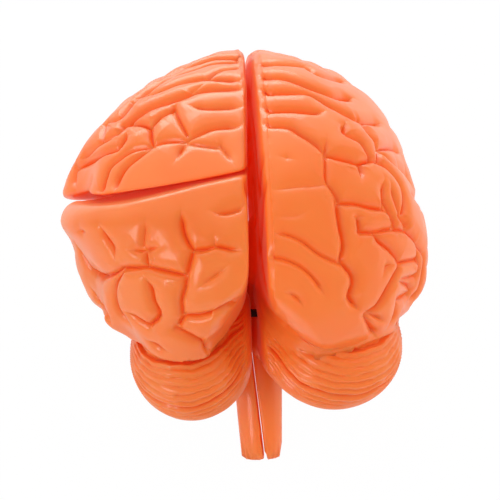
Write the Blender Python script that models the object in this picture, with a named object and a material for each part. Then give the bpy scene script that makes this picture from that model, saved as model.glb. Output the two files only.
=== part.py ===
"""Life-size teaching model of the brain, in five castings on locating pins.

Right half (hemisphere, cerebellum and half brainstem in one casting), and on the
left a frontal and parietal piece, a temporal and occipital piece, a cerebellum and
a half brainstem. Modelled in the anatomical frame in millimetres (+X right, +Y
front, +Z up), then leaned nose down onto the bench. The file is in metres, +Z up.
"""

import math

import bmesh
import bpy
import numpy as np
from mathutils import Matrix, Vector

for item in list(bpy.data.objects):
    bpy.data.objects.remove(item, do_unlink=True)

MM = 0.001
NOSE_DOWN = 28.0        # degrees the model leans forward when it stands
PIN_R = 1.5             # locating pins, 3 mm dowel
PIN_CLEAR = 0.3         # round each pin, in every hole
FLOOR_TRIM = 2.9        # cut flat off the lowest points, which the model stands on
FOLD_DEPTH = 2.8        # sulci in the castings
FOLD_WIDTH = 2.2
SEAT = 0.5              # clearance round the cerebellum and the brainstem where they nest
CUT_GAP = 0.6           # the two upper left pieces at the middle
CUT_GAPE = 2.1          # and this much more at the side of the head
LIFT = 30.0             # how far the lower left piece is lifted off the brainstem

# Half of the cerebrum: y, half width, height of the top, of the underside, of the widest line
STATIONS = [
    (-88, 66, 54, -28, 2),
    (-60, 70, 56, -31, 2),
    (-40, 72, 58, -41, 0),
    (-20, 70, 59, -45, 0),
    (0, 67, 59, -45, 0),
    (20, 64, 58, -43, 2),
    (45, 60, 54.5, -37, 4),
    (70, 58, 48, -35, 5),
    (90, 54, 42, -33, 6),
]
HALF_LENGTH = 86.0
UNDER_END = 2.5         # roundness of the underside's ends
ORBITAL_Z = -28.0       # flat underside of the frontal lobe
# Inner lower corner: y, where the underside levels out (x), where it leaves the
# midline (x), the height it leaves at, and the height it levels out at
CORNER_RIGHT = [(-95, 39, 0, 21, -13.5), (-75, 39, 0, 16, -21.5), (-60, 39, 0, 7, -30.5), (-45, 36, 0, 1, -36.5),
                (-30, 34, 0, -7, -44), (-10, 34, 0, -12, -50), (20, 34, 0, -12, -50), (30, 20, 0, -20, -60)]
CORNER_LEFT = [(-95, 36, 0, 28, -19), (-75, 36, 0, 22.5, -26), (-60, 36, 0, 14.5, -35), (-45, 36, 0, 3.5, -45),
               (-30, 35, 0, -5, -49), (-10, 34, 0, -12, -50), (20, 34, 0, -12, -50), (30, 20, 0, -20, -60)]
CORNER_POWER = {"right": 1.45, "lower": 1.6, "upper": 1.6}   # flatter than a quarter ellipse
CORNER_BLEND = {"right": 7.5, "lower": 5.0, "upper": 4.0}
# Name: added half width, the same behind the middle only, added top, added underside at
# the back, added height of the widest line, roundness of the section above and below it,
# roundness of the ends seen from above, and the corner
SIDES = {
    "right": (3.0, -4.7, 3.9, -11.2, -3.6, 1.95, 2.50, 2.5, CORNER_RIGHT),
    "lower": (-0.5, 0.0, 0.0, -19.5, 3.9, 2.35, 2.30, 2.5, CORNER_LEFT),
    "upper": (3.4, 3.8, 1.2, -4.0, 0.0, 2.12, 2.30, 1.8, CORNER_LEFT),
}
LEDGE = 5.0             # the lower left piece stands out this far under the cut
# Gyri that stand out at the rim and hollows between them: where the eye sees them, radius, height
SWELLS = {
    "right": [((277, 46), 14, -2.6), ((345, 77), 9, -0.9), ((407, 168), 9, -0.8), ((388, 336), 9, 1.2), ((413, 300), 8, -2.0)],
    "lower": [((86, 285), 8, -4.0), ((106, 324), 7, 3.0), ((128, 338), 6, -3.3), ((151, 353), 7, -1.0), ((183, 362), 10, 6.4), ((214, 354), 8, -3.2)],
    "upper": [((231, 51), 12, 1.9), ((208, 53), 12, 0.8), ((72, 184), 8, -3.0)],
}
VERMIS = {"right": ((8, -42, -25), (15, 22, 14)), "left": ((7, -42, -27.5), (13, 22, 14.5))}
CEREBELLUM = {"right": ((28.4, -50, -28.6), (26.5, 31, 21.2)), "left": ((24.3, -50, -31.6), (23.4, 30, 21.8))}
STEM_TOP, STEM_END = (0.4, -11.2, -12.9), (1.8, -50.75, -81.3)
STEM_R = (11.6, 7.9)

# The eye that the fold lines were drawn from, in the anatomical frame
EYE_DISTANCE, EYE_ABOVE, EYE_LEFT, EYE_ROLL = 650.0, 30.0, 2.5, -0.4
PX_PER_MM, AIM_PX, AIM_POINT = 2.58, (251.0, 226.0), (0.0, -10.0, 0.0)

FOLDS_UPPER = [
    [(161, 77), (175, 69), (191, 63), (215, 56), (236, 55)],
    [(134, 96), (153, 84), (172, 74), (191, 68), (212, 61), (231, 58)],
    [(118, 115), (135, 97), (159, 88), (183, 80), (207, 76), (239, 78)],
    [(207, 75), (220, 68), (231, 65)],
    [(121, 123), (139, 110), (159, 101), (183, 94), (199, 89), (223, 87)],
    [(191, 89), (207, 81)],
    [(188, 104), (207, 106), (231, 105), (241, 106)],
    [(173, 105), (180, 121), (186, 132)],
    [(150, 128), (159, 116), (171, 108), (173, 104)],
    [(126, 120), (140, 121), (149, 126), (150, 137), (151, 143)],
    [(186, 137), (199, 131), (215, 125), (231, 124)],
    [(151, 143), (166, 139), (186, 138)],
    [(186, 140), (199, 143), (215, 145)],
    [(183, 142), (179, 151), (174, 161)],
    [(75, 167), (89, 161), (104, 151), (115, 147), (123, 136), (124, 129)],
    [(77, 159), (85, 153), (96, 143), (108, 136), (118, 129), (124, 121)],
    [(99, 139), (102, 126), (105, 121), (115, 117)],
    [(98, 196), (102, 180), (107, 167), (116, 158), (131, 148), (148, 144)],
    [(113, 193), (116, 179), (124, 166), (137, 155), (151, 145)],
    [(220, 143), (228, 153), (234, 164)],
]
FOLDS_LOWER = [
    [(98, 225), (104, 240), (110, 249), (112, 261)],
    [(145, 217), (143, 232), (141, 246)],
    [(126, 250), (140, 252), (153, 248), (161, 247)],
    [(143, 251), (144, 269)],
    [(120, 270), (132, 270), (144, 269), (159, 272), (182, 277)],
    [(180, 208), (182, 229), (186, 241), (192, 250)],
    [(192, 250), (206, 249), (215, 246), (231, 249), (246, 251)],
    [(214, 234), (214, 245)],
    [(209, 210), (223, 212), (247, 206)],
    [(191, 254), (185, 277), (183, 289), (179, 304), (180, 318)],
    [(177, 328), (183, 320), (199, 319), (218, 314), (228, 308), (239, 303)],
    [(174, 332), (191, 340), (212, 351)],
    [(141, 277), (148, 291), (151, 304), (157, 318), (148, 328)],
    [(118, 273), (112, 286), (112, 302), (118, 315), (131, 328)],
    [(123, 312), (136, 321), (147, 328)],
    [(74, 233), (86, 233)],
    [(73, 243), (80, 256), (89, 270), (97, 278), (108, 277), (118, 270)],
    [(198, 289), (214, 277), (230, 265)],
    [(145, 340), (159, 350), (169, 353)],
    [(91, 289), (99, 308), (110, 326)],
]
FOLDS_RIGHT = [
    [(260, 62), (282, 62), (306, 65), (317, 72), (338, 78), (346, 80)],
    [(260, 75), (282, 76), (301, 81), (322, 89), (338, 95), (354, 96)],
    [(263, 90), (285, 90), (306, 91), (319, 96), (333, 104), (349, 112), (362, 120)],
    [(264, 108), (290, 107), (314, 110), (325, 110)],
    [(264, 124), (287, 124), (301, 132), (317, 143), (327, 153)],
    [(327, 136), (327, 153), (327, 167), (328, 180), (336, 191), (342, 201)],
    [(347, 120), (346, 131), (362, 140), (370, 151), (374, 158)],
    [(362, 118), (371, 132), (379, 143), (382, 158)],
    [(327, 153), (339, 156), (352, 159), (362, 161), (374, 158)],
    [(362, 161), (364, 171), (363, 180)],
    [(374, 158), (386, 163), (397, 174), (405, 188), (408, 202), (407, 212)],
    [(386, 177), (386, 191), (387, 206)],
    [(342, 202), (358, 202), (374, 206), (387, 208)],
    [(392, 182), (397, 196), (403, 212), (410, 223)],
    [(365, 120), (382, 123)],
    [(382, 147), (393, 147), (401, 153)],
    [(384, 150), (397, 163), (409, 175), (416, 188)],
    [(387, 207), (397, 217), (400, 230)],
    [(352, 216), (368, 216)],
    [(361, 221), (363, 232)],
    [(339, 200), (342, 224), (346, 245), (344, 262), (355, 277), (355, 289), (352, 299), (362, 313)],
    [(271, 233), (287, 234), (303, 241), (320, 254), (336, 262), (346, 265)],
    [(266, 257), (285, 260), (301, 267), (314, 278), (322, 289), (327, 297)],
    [(282, 292), (293, 296), (303, 305), (304, 312)],
    [(362, 232), (378, 232), (393, 229), (409, 230)],
    [(378, 233), (382, 241), (393, 249), (401, 259), (403, 267), (398, 278), (390, 292), (378, 310), (368, 316)],
    [(403, 264), (422, 261)],
    [(401, 283), (419, 278), (422, 264)],
    [(400, 302), (411, 296), (413, 288), (406, 283)],
    [(400, 304), (397, 318), (389, 328)],
    [(368, 318), (376, 339)],
    [(371, 316), (387, 323)],
    [(409, 230), (419, 240), (422, 253), (422, 272)],
]
# Lateral fissure and the folds of the midline faces, in (y, z); the face side is x near 0
FISSURE = [(38, -20), (20, -8), (0, 2), (-20, 14), (-30, 24)]
MIDLINE = [
    [(44, -14), (52, 4), (46, 24), (28, 36), (4, 40), (-20, 38), (-34, 30), (-44, 34), (-48, 52)],
    [(20, -6), (34, -4), (38, 8), (28, 20), (8, 26), (-14, 24), (-30, 14), (-36, 4)],
    [(24, 0), (27, 8), (18, 15), (2, 18), (-14, 16), (-24, 8)],
    [(-36, 4), (-46, 14), (-56, 32), (-58, 48)],
    [(-44, 10), (-58, 6), (-74, 6)],
    [(10, 10), (-2, 12), (-14, 6), (-12, -4), (2, -4), (12, 2), (10, 10)],
    [(62, 0), (64, 20), (54, 38)],
    [(10, 42), (8, 56)],
]


def smooth_max(a, b, k):
    h = np.clip(0.5 + 0.5 * (a - b) / k, 0, 1)
    return b * (1 - h) + a * h + k * h * (1 - h)


def smooth_step(low, high, value):
    t = np.clip((value - low) / (high - low), 0, 1)
    return t * t * (3 - 2 * t)


def eased(rows, column, at):
    """A column of a station table read at y, with its corners rounded over 16 mm."""
    table = np.array([row[:5] for row in rows], float)
    near = [np.interp(at + step, table[:, 0], table[:, column]) for step in (-8, -4, 0, 4, 8)]
    return sum(w * v for w, v in zip((1, 2, 3, 2, 1), near)) / 9


def midline(y, side):
    """How far a half's flat face stands off the middle: they touch nearly at the front and gape at the back."""
    if side == "right":
        return 0.3 + 0.026 * (-5 - np.clip(y, -90, -5))
    back = -5 - np.clip(y, -90, -5)
    return 0.25 + 0.037 * (back + np.minimum(back, 25))


def cut_rise(x, y, z):
    """Height over the cut between the two left pieces: three slopes, steepest in front of the temporal lobe."""
    level = 38.2 - 0.195 * (x - 34.3) - 0.404 * (y + 47.6)
    level = level - 0.22 * np.maximum(y + 22, 0) - 1.4 * np.maximum(y - 22, 0)
    return 0.88 * (z - level)


def ellipsoid(p, centre, radii):
    q = (p - np.array(centre)) / np.array(radii)
    size = np.linalg.norm(q, axis=-1)
    return size * (size - 1) / (np.linalg.norm(q / np.array(radii), axis=-1) + 1e-9)


def half_cerebrum(p, side):
    """Half a cerebrum from its sections, with the inner lower corner taken off."""
    x, y, z = p[..., 0], p[..., 1], p[..., 2]
    wider, rear, taller, deeper, raised, above, below, ends, corner = SIDES[side]
    half, top, bottom, widest = (eased(STATIONS, c, y) for c in (1, 2, 3, 4))
    half, top, widest = half + wider + rear * smooth_step(30, -10, y), top + taller, widest + raised
    bottom = bottom + deeper * smooth_step(-48, -62, y)
    if side == "lower":
        half = half + LEDGE * np.exp(-(((cut_rise(x, y, z) + 7) / 6.5) ** 2)) * smooth_step(20, 0, y)
    closing, under = (np.clip(1 - np.abs(y / HALF_LENGTH) ** n, 2e-3, 1) ** (1 / 2.1) for n in (ends, UNDER_END))
    u = np.abs(x / (half * closing))
    v = np.abs(np.where(z > widest, (z - widest) / ((top - widest) * closing), (z - widest) / ((bottom - widest) * under)))
    power = np.where(z > widest, above, below)
    d = ((u**power + v**power) ** (1 / power) - 1) * 45
    d = smooth_max(d, np.abs(y) - HALF_LENGTH + 0.6, 3)
    d = smooth_max(d, -(z - ORBITAL_Z + (1 - smooth_step(22, 44, y)) * 60), 7)
    level_x, leave_x, leave_z, level_z = (eased(corner, c, y) for c in (1, 2, 3, 4))
    across = np.maximum(level_x - x, 0) / (level_x - leave_x)
    down = np.maximum(leave_z - z, 0) / (leave_z - level_z)
    inner = (across ** CORNER_POWER[side] + down ** CORNER_POWER[side]) ** (1 / CORNER_POWER[side])
    return smooth_max(d, (inner - 1) * 25, CORNER_BLEND[side])


def cerebrum(p, side):
    d = half_cerebrum(p, side)
    for (_, radius, height), centre in zip(SWELLS[side], swell_centres[side]):
        d = d - height * np.exp(-((p - centre) ** 2).sum(axis=-1) / (2 * radius**2))
    return smooth_max(d, midline(p[..., 1], side) - p[..., 0], 4 if side == "right" else 3)


def right_cerebrum(p):
    return cerebrum(p, "right")


def opening(x):
    """The lower piece's share of the cut, which gapes towards the side of the head."""
    return CUT_GAP / 2 + CUT_GAPE * smooth_step(10, 66, x)


def left_upper(p):
    x, y, z = p[..., 0], p[..., 1], p[..., 2]
    return smooth_max(cerebrum(p, "upper"), CUT_GAP / 2 - cut_rise(x, y, z), 2.0)


def smooth_min(a, b, k):
    return -smooth_max(-a, -b, k)


def cerebellum(p, side):
    d = smooth_min(ellipsoid(p, *CEREBELLUM[side]), ellipsoid(p, *VERMIS[side]), 5)
    return smooth_max(d, midline(p[..., 1], side) * 0.6 + 0.2 - p[..., 0], 4)


def left_cerebellum(p):
    return smooth_max(cerebellum(p, "left"), SEAT - stem(p * np.array([-1, 1, 1])), 1.5)


def right_cerebellum(p):
    return cerebellum(p, "right")


def stem(p):
    """The whole brainstem in the right-handed frame: a tapered bar with the pons on its front."""
    a, b = np.array(STEM_TOP), np.array(STEM_END)
    t = ((p - a) @ (b - a)) / ((b - a) @ (b - a))
    q = p - a - np.clip(t, 0, 1)[..., None] * (b - a)
    r = STEM_R[0] + (STEM_R[1] - STEM_R[0]) * np.clip(t, 0, 1)
    d = np.linalg.norm(q, axis=-1) - r
    pons = ellipsoid(p, (0.8, -10, -38), (15.5, 12, 13))
    d = smooth_min(d, pons, 4)
    return smooth_max(d, (t - 1) * np.linalg.norm(b - a), 2.5)


def split_x(z):
    """The plane the brainstem is halved on, which leans as it goes down."""
    return 0.35 + 0.11 * (-56 - z)


def left_stem(p):
    whole = stem(p * np.array([-1, 1, 1]))
    return smooth_max(whole, 0.25 - split_x(p[..., 2]) - p[..., 0], 1.2)


def right_stem(p):
    return smooth_max(stem(p), split_x(p[..., 2]) + 0.25 - p[..., 0], 1.2)


def left_lower(p):
    x, y, z = p[..., 0], p[..., 1], p[..., 2]
    d = smooth_max(cerebrum(p, "lower"), cut_rise(x, y, z) + opening(x), 1.6)
    d = smooth_max(d, SEAT - cerebellum(p, "left"), 1.5)
    return smooth_max(d, SEAT - lifted(p * np.array([-1, 1, 1])), 1.5)


def lifted(p):
    """The brainstem with the room it needs while the piece round it is lifted straight off."""
    steps = np.linspace(0, LIFT, 11)
    return np.min([stem(p + np.array([0, 0, rise])) for rise in steps], axis=0)


def march(field, centre, dirs, reach=128.0):
    """Where each ray from the centre first leaves the solid."""
    centre = np.array(centre, float)
    inside = np.zeros(len(dirs))
    going = np.arange(len(dirs))
    for step in np.arange(2.0, reach, 2.0):
        going = going[field(centre + dirs[going] * step) <= 0]
        if len(going) == 0:
            break
        inside[going] = step
    near, far = inside, inside + 2.0
    for _ in range(12):
        middle = (near + far) / 2
        is_in = field(centre + dirs * middle[:, None]) < 0
        near, far = np.where(is_in, middle, near), np.where(is_in, far, middle)
    return centre + dirs * ((near + far) / 2)[:, None]


def normals_of(points, tris):
    a, b, c = points[tris[:, 0]], points[tris[:, 1]], points[tris[:, 2]]
    flat = np.cross(b - a, c - a)
    total = np.zeros_like(points)
    for corner in range(3):
        for axis in range(3):
            total[:, axis] += np.bincount(tris[:, corner], flat[:, axis], len(points))
    return total / (np.linalg.norm(total, axis=1, keepdims=True) + 1e-12)


def eye():
    """Position and axes of the eye that the fold lines were drawn from."""
    up_angle, left_angle, roll = (math.radians(v) for v in (EYE_ABOVE, EYE_LEFT, EYE_ROLL))
    back = np.array([-math.sin(left_angle) * math.cos(up_angle), -math.cos(left_angle) * math.cos(up_angle), math.sin(up_angle)])
    right = np.cross(-back, (0, 0, 1))
    right /= np.linalg.norm(right)
    up = np.cross(right, -back)
    right, up = math.cos(roll) * right + math.sin(roll) * up, math.cos(roll) * up - math.sin(roll) * right
    return np.array(AIM_POINT) + back * EYE_DISTANCE, -back, right, up


def met_by_eye(px, field, mirror):
    """Where the eye's rays through the drawn points meet the solid, or pass it nearest."""
    origin, forward, right, up = eye()
    focal = PX_PER_MM * EYE_DISTANCE
    rays = forward + ((px[:, :1] - AIM_PX[0]) / focal) * right - ((px[:, 1:] - AIM_PX[1]) / focal) * up
    rays /= np.linalg.norm(rays, axis=1, keepdims=True)
    steps = np.arange(500.0, 800.0, 1.0)
    path = origin + rays[:, None, :] * steps[None, :, None]
    value = field(path * np.array([mirror, 1, 1]))
    met = (value < 0).any(axis=1)
    chosen = np.where(met, (value < 0).argmax(axis=1), value.argmin(axis=1))
    return path[np.arange(len(px)), chosen] * np.array([mirror, 1, 1])


def on_surface(line, field, mirror):
    """A drawn line laid on the solid, point by point."""
    drawn = np.array(line, float)
    along = np.concatenate([[0], np.cumsum(np.linalg.norm(np.diff(drawn, axis=0), axis=1))])
    at = np.linspace(0, along[-1], max(3, int(along[-1] / 6) + 1))
    px = np.stack([np.interp(at, along, drawn[:, 0]), np.interp(at, along, drawn[:, 1])], 1)
    return met_by_eye(px, field, mirror)


def line_distance(points, line):
    """Distance to a polyline, and how far along it (0 to 1) the nearest place is."""
    best = np.full(len(points), 1e9)
    place = np.zeros(len(points))
    lengths = np.linalg.norm(np.diff(line, axis=0), axis=1)
    starts = np.concatenate([[0], np.cumsum(lengths)])
    for n, (a, b) in enumerate(zip(line[:-1], line[1:])):
        ab = b - a
        t = np.clip(((points - a) @ ab) / (ab @ ab + 1e-12), 0, 1)
        d = np.linalg.norm(points - a - t[:, None] * ab, axis=1)
        nearer = d < best
        best = np.where(nearer, d, best)
        place = np.where(nearer, (starts[n] + t * lengths[n]) / starts[-1], place)
    return best, place


def folded(points, normals, lines, width, faced):
    """How deep the folds are at each point, from 0 to 1."""
    left = np.ones(len(points))
    for line in lines:
        low, high = line.min(axis=0) - 5 * width, line.max(axis=0) + 5 * width
        near = np.nonzero(((points > low) & (points < high)).all(axis=1))[0]
        if len(near) == 0:
            continue
        d, place = line_distance(points[near], line)
        fade = np.clip(np.minimum(place, 1 - place) * 8 + 0.35, 0, 1)
        left[near] *= 1 - 0.95 * fade * np.exp(-((d / width) ** 1.15))
    wave = np.zeros(len(points))
    slope = np.zeros_like(points)
    for n in range(14):
        # plane waves of one length, whose zero lines wander as the folds of the cortex do
        turn, tip = 2.399963 * n, math.acos(1 - 2 * (n + 0.5) / 14)
        k = 2 * math.pi / 21.0 * np.array([math.sin(tip) * math.cos(turn), math.sin(tip) * math.sin(turn), math.cos(tip)])
        phase = points @ k + 1.7 * n * n
        wave += np.cos(phase)
        slope -= np.sin(phase)[:, None] * k
    across = slope - (slope * normals).sum(axis=1, keepdims=True) * normals
    d = np.abs(wave) / (np.linalg.norm(across, axis=1) + 0.25)
    left *= 1 - 0.85 * faced * np.exp(-d / width)
    return 1 - left


def ball(name, centre, mirror, subdivisions):
    """A unit icosphere at the casting's centre, with its points and triangles as arrays."""
    mesh = bpy.data.meshes.new(name)
    edit = bmesh.new()
    bmesh.ops.create_icosphere(edit, subdivisions=subdivisions, radius=1.0)
    edit.to_mesh(mesh)
    edit.free()
    obj = bpy.data.objects.new(name, mesh)
    obj.location = Vector((centre[0] * mirror, centre[1], centre[2])) * MM
    obj.parent = stand
    model.objects.link(obj)
    points = np.empty(len(mesh.vertices) * 3, np.float32)
    mesh.vertices.foreach_get("co", points)
    tris = np.empty(len(mesh.polygons) * 3, np.int32)
    mesh.polygons.foreach_get("vertices", tris)
    points = points.reshape(-1, 3).astype(float)
    return obj, points / np.linalg.norm(points, axis=1, keepdims=True), tris.reshape(-1, 3)


def set_points(obj, points, mirror):
    """Moves the ball's vertices to the modelled surface, mirrored to the left where asked."""
    mesh = obj.data
    local = points * np.array([mirror, 1, 1]) * MM - np.array(obj.location)
    mesh.vertices.foreach_set("co", local.astype(np.float32).ravel())
    if mirror < 0:
        mesh.flip_normals()
    mesh.update()


def baked(obj):
    """The object's mesh with its modifiers worked in."""
    bpy.context.view_layer.update()
    graph = bpy.context.evaluated_depsgraph_get()
    mesh = bpy.data.meshes.new_from_object(obj.evaluated_get(graph))
    obj.modifiers.clear()
    obj.data = mesh
    return obj


def reduced(obj, triangles):
    decimate = obj.modifiers.new("reduce", "DECIMATE")
    decimate.ratio = triangles / len(obj.data.polygons)
    decimate.use_collapse_triangulate = True
    return baked(obj)


def lobe(name, field, centre, lines, mirror, subdivisions, triangles):
    """One folded casting of the cerebrum: a ball pulled out to the surface, then creased along the drawn lines."""
    obj, dirs, tris = ball(name, centre, mirror, subdivisions)
    points = march(field, centre, dirs)
    normals = normals_of(points, tris)
    laid = [on_surface(line, field, mirror) for line in lines]
    toward = unit([(60 - centre[0], y - centre[1], z - centre[2]) for y, z in FISSURE])
    laid.append(march(field, centre, toward))
    side = "right" if mirror > 0 else "left"
    inner = [np.array([(midline(y, side), y, z) for y, z in curve]) for curve in MIDLINE]
    to_eye = unit(eye()[0] * np.array([mirror, 1, 1]) - points)
    seen = (normals * to_eye).sum(axis=1)
    inward = smooth_step(-0.75, -0.95, normals[:, 0])
    faced = smooth_step(0.2, -0.05, seen) * (1 - inward)
    outside = folded(points, normals, laid, FOLD_WIDTH, faced) * (1 - inward)
    # the midline face is folded by its own lines, more shallowly
    inside = folded(points, normals, inner, 1.6, np.zeros(len(points))) * 0.5
    amount = np.where(inward > 0.5, inside, outside)
    if mirror < 0:
        # the two faces of the cut stay plain
        joint = np.abs(cut_rise(points[:, 0], points[:, 1], points[:, 2])) < 2.8
        amount = np.where(joint & (seen < 0.3), 0, amount)
    set_points(obj, points - normals * (FOLD_DEPTH * amount)[:, None], mirror)
    return reduced(obj, triangles)


def unit(vectors):
    vectors = np.array(vectors, float)
    return vectors / np.linalg.norm(vectors, axis=1, keepdims=True)


def plain(name, field, centre, mirror, subdivisions, triangles, grooves=None):
    obj, dirs, tris = ball(name, centre, mirror, subdivisions)
    points = march(field, centre, dirs)
    if grooves is not None:
        points = points - normals_of(points, tris) * grooves(points)[:, None]
    set_points(obj, points, mirror)
    return reduced(obj, triangles)


def leaf_grooves(centre):
    """Broad grooves between the leaves of the cerebellum, which sweep round its side."""
    def depth(p):
        lift = p[:, 2] - centre[2] + 0.012 * (p[:, 1] - centre[1]) ** 2 * 0.6
        return 0.7 * np.exp(-np.abs(np.mod(lift, 6.5) - 3.25) / 0.9) * smooth_step(3.0, 7.0, p[:, 0])
    return depth


def boolean(obj, other, operation):
    step = obj.modifiers.new(operation.lower(), "BOOLEAN")
    step.operation = operation
    step.solver = "EXACT"
    step.object = other
    return baked(obj)


def cutter(obj):
    """Keeps a cutting shape out of the model."""
    model.objects.unlink(obj)
    cutters.objects.link(obj)
    obj.hide_render = True
    obj.display_type = "WIRE"
    return obj


def rod(name, start, end, radius):
    """A round bar between two points given in millimetres."""
    a, b = Vector(start), Vector(end)
    mesh = bpy.data.meshes.new(name)
    edit = bmesh.new()
    bmesh.ops.create_cone(edit, cap_ends=True, segments=20, radius1=radius * MM, radius2=radius * MM, depth=(b - a).length * MM)
    edit.to_mesh(mesh)
    edit.free()
    obj = bpy.data.objects.new(name, mesh)
    obj.location = (a + b) / 2 * MM
    obj.rotation_euler = (b - a).to_track_quat("Z", "Y").to_euler()
    obj.parent = stand
    model.objects.link(obj)
    return obj


def block(name, size, centre, parent):
    mesh = bpy.data.meshes.new(name)
    edit = bmesh.new()
    bmesh.ops.create_cube(edit, size=1.0, matrix=Matrix.Diagonal((size[0] * MM, size[1] * MM, size[2] * MM, 1)))
    edit.to_mesh(mesh)
    edit.free()
    obj = bpy.data.objects.new(name, mesh)
    obj.location = Vector(centre) * MM
    obj.parent = parent
    model.objects.link(obj)
    return obj


def drilled(body, start, end):
    """A hole with the pins' clearance, closed half a millimetre past each end."""
    a, b = Vector(start), Vector(end)
    over = (b - a).normalized() * 0.5
    boolean(body, cutter(rod("hole", a - over, b + over, PIN_R + PIN_CLEAR)), "DIFFERENCE")


def material(name, colour, roughness, metallic=0.0):
    made = bpy.data.materials.new(name)
    made.use_nodes = True
    shader = made.node_tree.nodes["Principled BSDF"]
    shader.inputs["Base Color"].default_value = (*colour, 1.0)
    shader.inputs["Roughness"].default_value = roughness
    shader.inputs["Metallic"].default_value = metallic
    made.diffuse_color = (*colour, 1.0)
    return made


swell_centres = {
    side: met_by_eye(np.array([at for at, _, _ in swells], float).reshape(-1, 2), lambda p: half_cerebrum(p, side), 1 if side == "right" else -1)
    for side, swells in SWELLS.items()
}

model = bpy.data.collections.new("brain_model")
cutters = bpy.data.collections.new("cutters")
for group in (model, cutters):
    bpy.context.scene.collection.children.link(group)
stand = bpy.data.objects.new("stand", None)
stand.rotation_euler = (math.radians(-NOSE_DOWN), 0, 0)
model.objects.link(stand)

# The five castings
right = lobe("right_half", right_cerebrum, (27, -8, 8), FOLDS_RIGHT, 1, 7, 3800)
upper = lobe("left_frontal_parietal", left_upper, (30, 8, 34), FOLDS_UPPER, -1, 7, 2050)
lower = lobe("left_temporal_occipital", left_lower, (38, -30, 0), FOLDS_LOWER, -1, 7, 2150)
little = plain("left_cerebellum", left_cerebellum, (18, -47, -32), -1, 6, 850, leaf_grooves(CEREBELLUM["left"][0]))
left_bar = plain("left_brainstem", left_stem, (6.0, -24, -40), -1, 5, 340)
for more in (
    plain("right_cerebellum", right_cerebellum, (20, -47, -29), 1, 6, 850, leaf_grooves(CEREBELLUM["right"][0])),
    plain("right_stem", right_stem, (5.5, -25, -42), 1, 5, 340),
):
    boolean(right, cutter(more), "UNION")

# Locating pins: start, end, and the castings they join
PINS = {
    "rear_pin": ((-10, -42, -19.4), (12, -42, -19.4), (right, little)),
    "stem_pin": ((-9, -16, -38), (9, -16, -38), (right, left_bar)),
    "peduncle_pin": ((-3.6, -23.6, -42), (-16, -36, -42), (left_bar, little)),
    "cerebellum_pin": ((-26, -46, 0), (-26, -46, -25), (lower, little)),
    "brainstem_pin": ((-7.8, -13, 7), (-7.8, -13, -18), (lower, left_bar)),
    "cut_pin_front": ((-40, 10, -4), (-40, 14, 15), (lower, upper)),
    "cut_pin_rear": ((-25, -14, 14), (-25, -10, 33), (lower, upper)),
}
pins = []
for name, (start, end, bodies) in PINS.items():
    pins.append(rod(name, start, end, PIN_R))
    for body in bodies:
        drilled(body, start, end)

# Colours and finish
vinyl = material("vinyl", (0.90, 0.20, 0.065), 0.32)
pin_plastic = material("pin_plastic", (0.012, 0.008, 0.007), 0.4)
castings = [right, upper, lower, little, left_bar]
for obj in castings + pins:
    obj.data.materials.clear()
    obj.data.materials.append(pin_plastic if obj in pins else vinyl)
    obj.data.shade_smooth()
for obj in pins:
    obj.data.set_sharp_from_angle(angle=math.radians(40))


def bounds():
    bpy.context.view_layer.update()
    points = [obj.matrix_world @ v.co for obj in castings + pins for v in obj.data.vertices]
    table = np.array([p[:] for p in points])
    return table.min(axis=0), table.max(axis=0)


# Trim the stem's end and the frontal underside flat, and stand the model over the origin
low, high = bounds()
trim = block("trim", (180, 220, 60), (0, 0, low[2] / MM + FLOOR_TRIM - 30), None)
cutter(trim)
for obj in (right, upper, left_bar):
    boolean(obj, trim, "DIFFERENCE")
low, high = bounds()
stand.location = (-(low[0] + high[0]) / 2, -(low[1] + high[1]) / 2, -low[2])
trim.location += stand.location
print("stand at mm", [round(v / MM, 2) for v in stand.location])
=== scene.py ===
# %% [markdown]
# A life-size teaching model of the brain, moulded in soft orange vinyl, seen from behind.
# It comes apart: the right half is one casting, the left half is four, and black pins hold them
# together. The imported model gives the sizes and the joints. This file remakes each casting with
# its folds, leaves and mould lines, and gives it the vinyl's colour and gloss.

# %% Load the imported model
import math

import bmesh
import bpy
import numpy as np
from mathutils import Matrix, Vector


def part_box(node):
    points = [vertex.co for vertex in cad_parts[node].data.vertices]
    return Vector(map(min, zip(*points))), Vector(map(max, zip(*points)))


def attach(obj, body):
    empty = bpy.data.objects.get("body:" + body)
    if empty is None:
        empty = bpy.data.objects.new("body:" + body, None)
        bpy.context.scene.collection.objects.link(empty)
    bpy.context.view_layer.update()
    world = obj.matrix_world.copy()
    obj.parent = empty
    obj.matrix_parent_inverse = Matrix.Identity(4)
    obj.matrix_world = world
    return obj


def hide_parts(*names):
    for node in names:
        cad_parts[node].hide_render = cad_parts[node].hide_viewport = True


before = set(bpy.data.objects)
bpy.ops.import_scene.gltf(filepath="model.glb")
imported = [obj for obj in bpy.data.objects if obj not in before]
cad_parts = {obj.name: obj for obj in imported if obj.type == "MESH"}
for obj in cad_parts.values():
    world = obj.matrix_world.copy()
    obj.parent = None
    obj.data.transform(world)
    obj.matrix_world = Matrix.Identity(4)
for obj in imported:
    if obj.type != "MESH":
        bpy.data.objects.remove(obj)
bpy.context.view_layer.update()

# %% [markdown]
# The castings are easiest to describe in the anatomist's frame, in millimetres: +X to the right,
# +Y to the front, +Z to the crown, with the origin inside the head. The model lies nose down, so
# that frame is turned forward and lifted onto the table. The rear pin's place is known in both
# frames, which gives the shift between them.

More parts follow.
